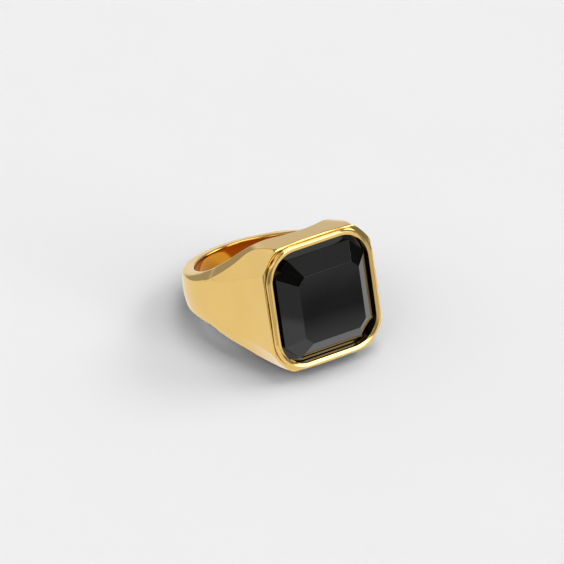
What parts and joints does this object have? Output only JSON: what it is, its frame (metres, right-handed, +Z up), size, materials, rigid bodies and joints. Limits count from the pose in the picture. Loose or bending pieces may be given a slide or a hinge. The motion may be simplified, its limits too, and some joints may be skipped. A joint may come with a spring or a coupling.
{
  "type": "signet ring",
  "caption": "Polished gold signet ring with a faceted black stone in a raised rounded-square bezel, lying on its side.",
  "frame": {"origin": "centre of the ring's box, on the surface that the ring lies on", "axes": "+Z up from the surface, -Y towards the side that the head faces, X across the head; X = 0 is the mirror plane"},
  "size_m": [0.0228, 0.0276, 0.0176],
  "materials": {
    "polished_gold": "mirror polished yellow gold",
    "black_stone": "polished, opaque black",
    "cement": "cured setting cement"
  },
  "bodies": {
    "root": {"ring_body": "polished_gold", "bezel_frame": "polished_gold", "stone": "black_stone", "cement_bed": "cement"}
  },
  "joints": []
}
